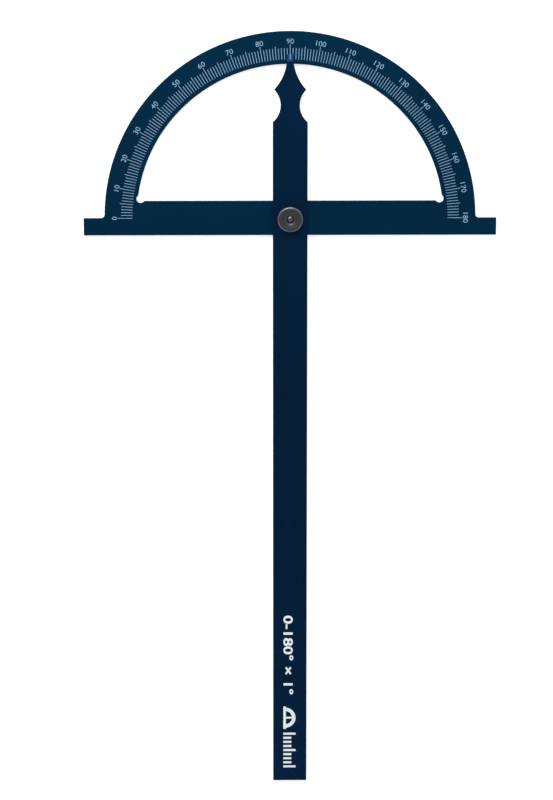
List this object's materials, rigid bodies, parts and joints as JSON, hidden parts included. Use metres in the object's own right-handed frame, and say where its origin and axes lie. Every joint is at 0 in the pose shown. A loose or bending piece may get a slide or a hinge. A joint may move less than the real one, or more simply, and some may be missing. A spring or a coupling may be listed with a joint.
{
  "type": "workshop protractor",
  "caption": "Flat workshop protractor: engraved half-ring plate with a base rail, and a long straight blade with a pointer tip that turns on a clamped pivot stud.",
  "frame": {"origin": "on the pivot axis, in the back face of the plate, where the stud's head lies flush", "axes": "+Z along the pivot axis out of the graduated face, +Y from the pivot to the 90 degree mark, +X towards the 180 degree mark"},
  "size_m": [0.2226, 0.42, 0.0087],
  "materials": {
    "plate_finish": "satin blue anodised",
    "blade_finish": "satin dark blue anodised",
    "stud_steel": "bright turned",
    "nylon": "natural nylon",
    "washer_steel": "zinc-plated",
    "nut_steel": "blackened, turned and knurled"
  },
  "bodies": {
    "base": {"scale_plate": "plate_finish", "pivot_stud": "stud_steel", "friction_washer": "nylon"},
    "arm": {"blade": "blade_finish", "wave_washer": "washer_steel"},
    "lift": {"clamp_washer": "washer_steel"},
    "nut": {"thumb_nut": "nut_steel"}
  },
  "joints": [
    {"name": "blade_pivot", "type": "hinge", "parent": "base", "child": "arm", "pos_m": [0, 0, 0], "axis": [0, 0, 1], "continuous": true},
    {"name": "washer_lift", "type": "slide", "parent": "base", "child": "lift", "axis": [0, 0, 1], "range_m": [0, 0.0007]},
    {"name": "nut_turn", "type": "hinge", "parent": "lift", "child": "nut", "pos_m": [0, 0, 0], "axis": [0, 0, 1], "range_deg": [0, 360]}
  ],
  "couplings": [
    {"joint": "nut_turn", "follows": "washer_lift", "rad_per_m": 8975}
  ]
}
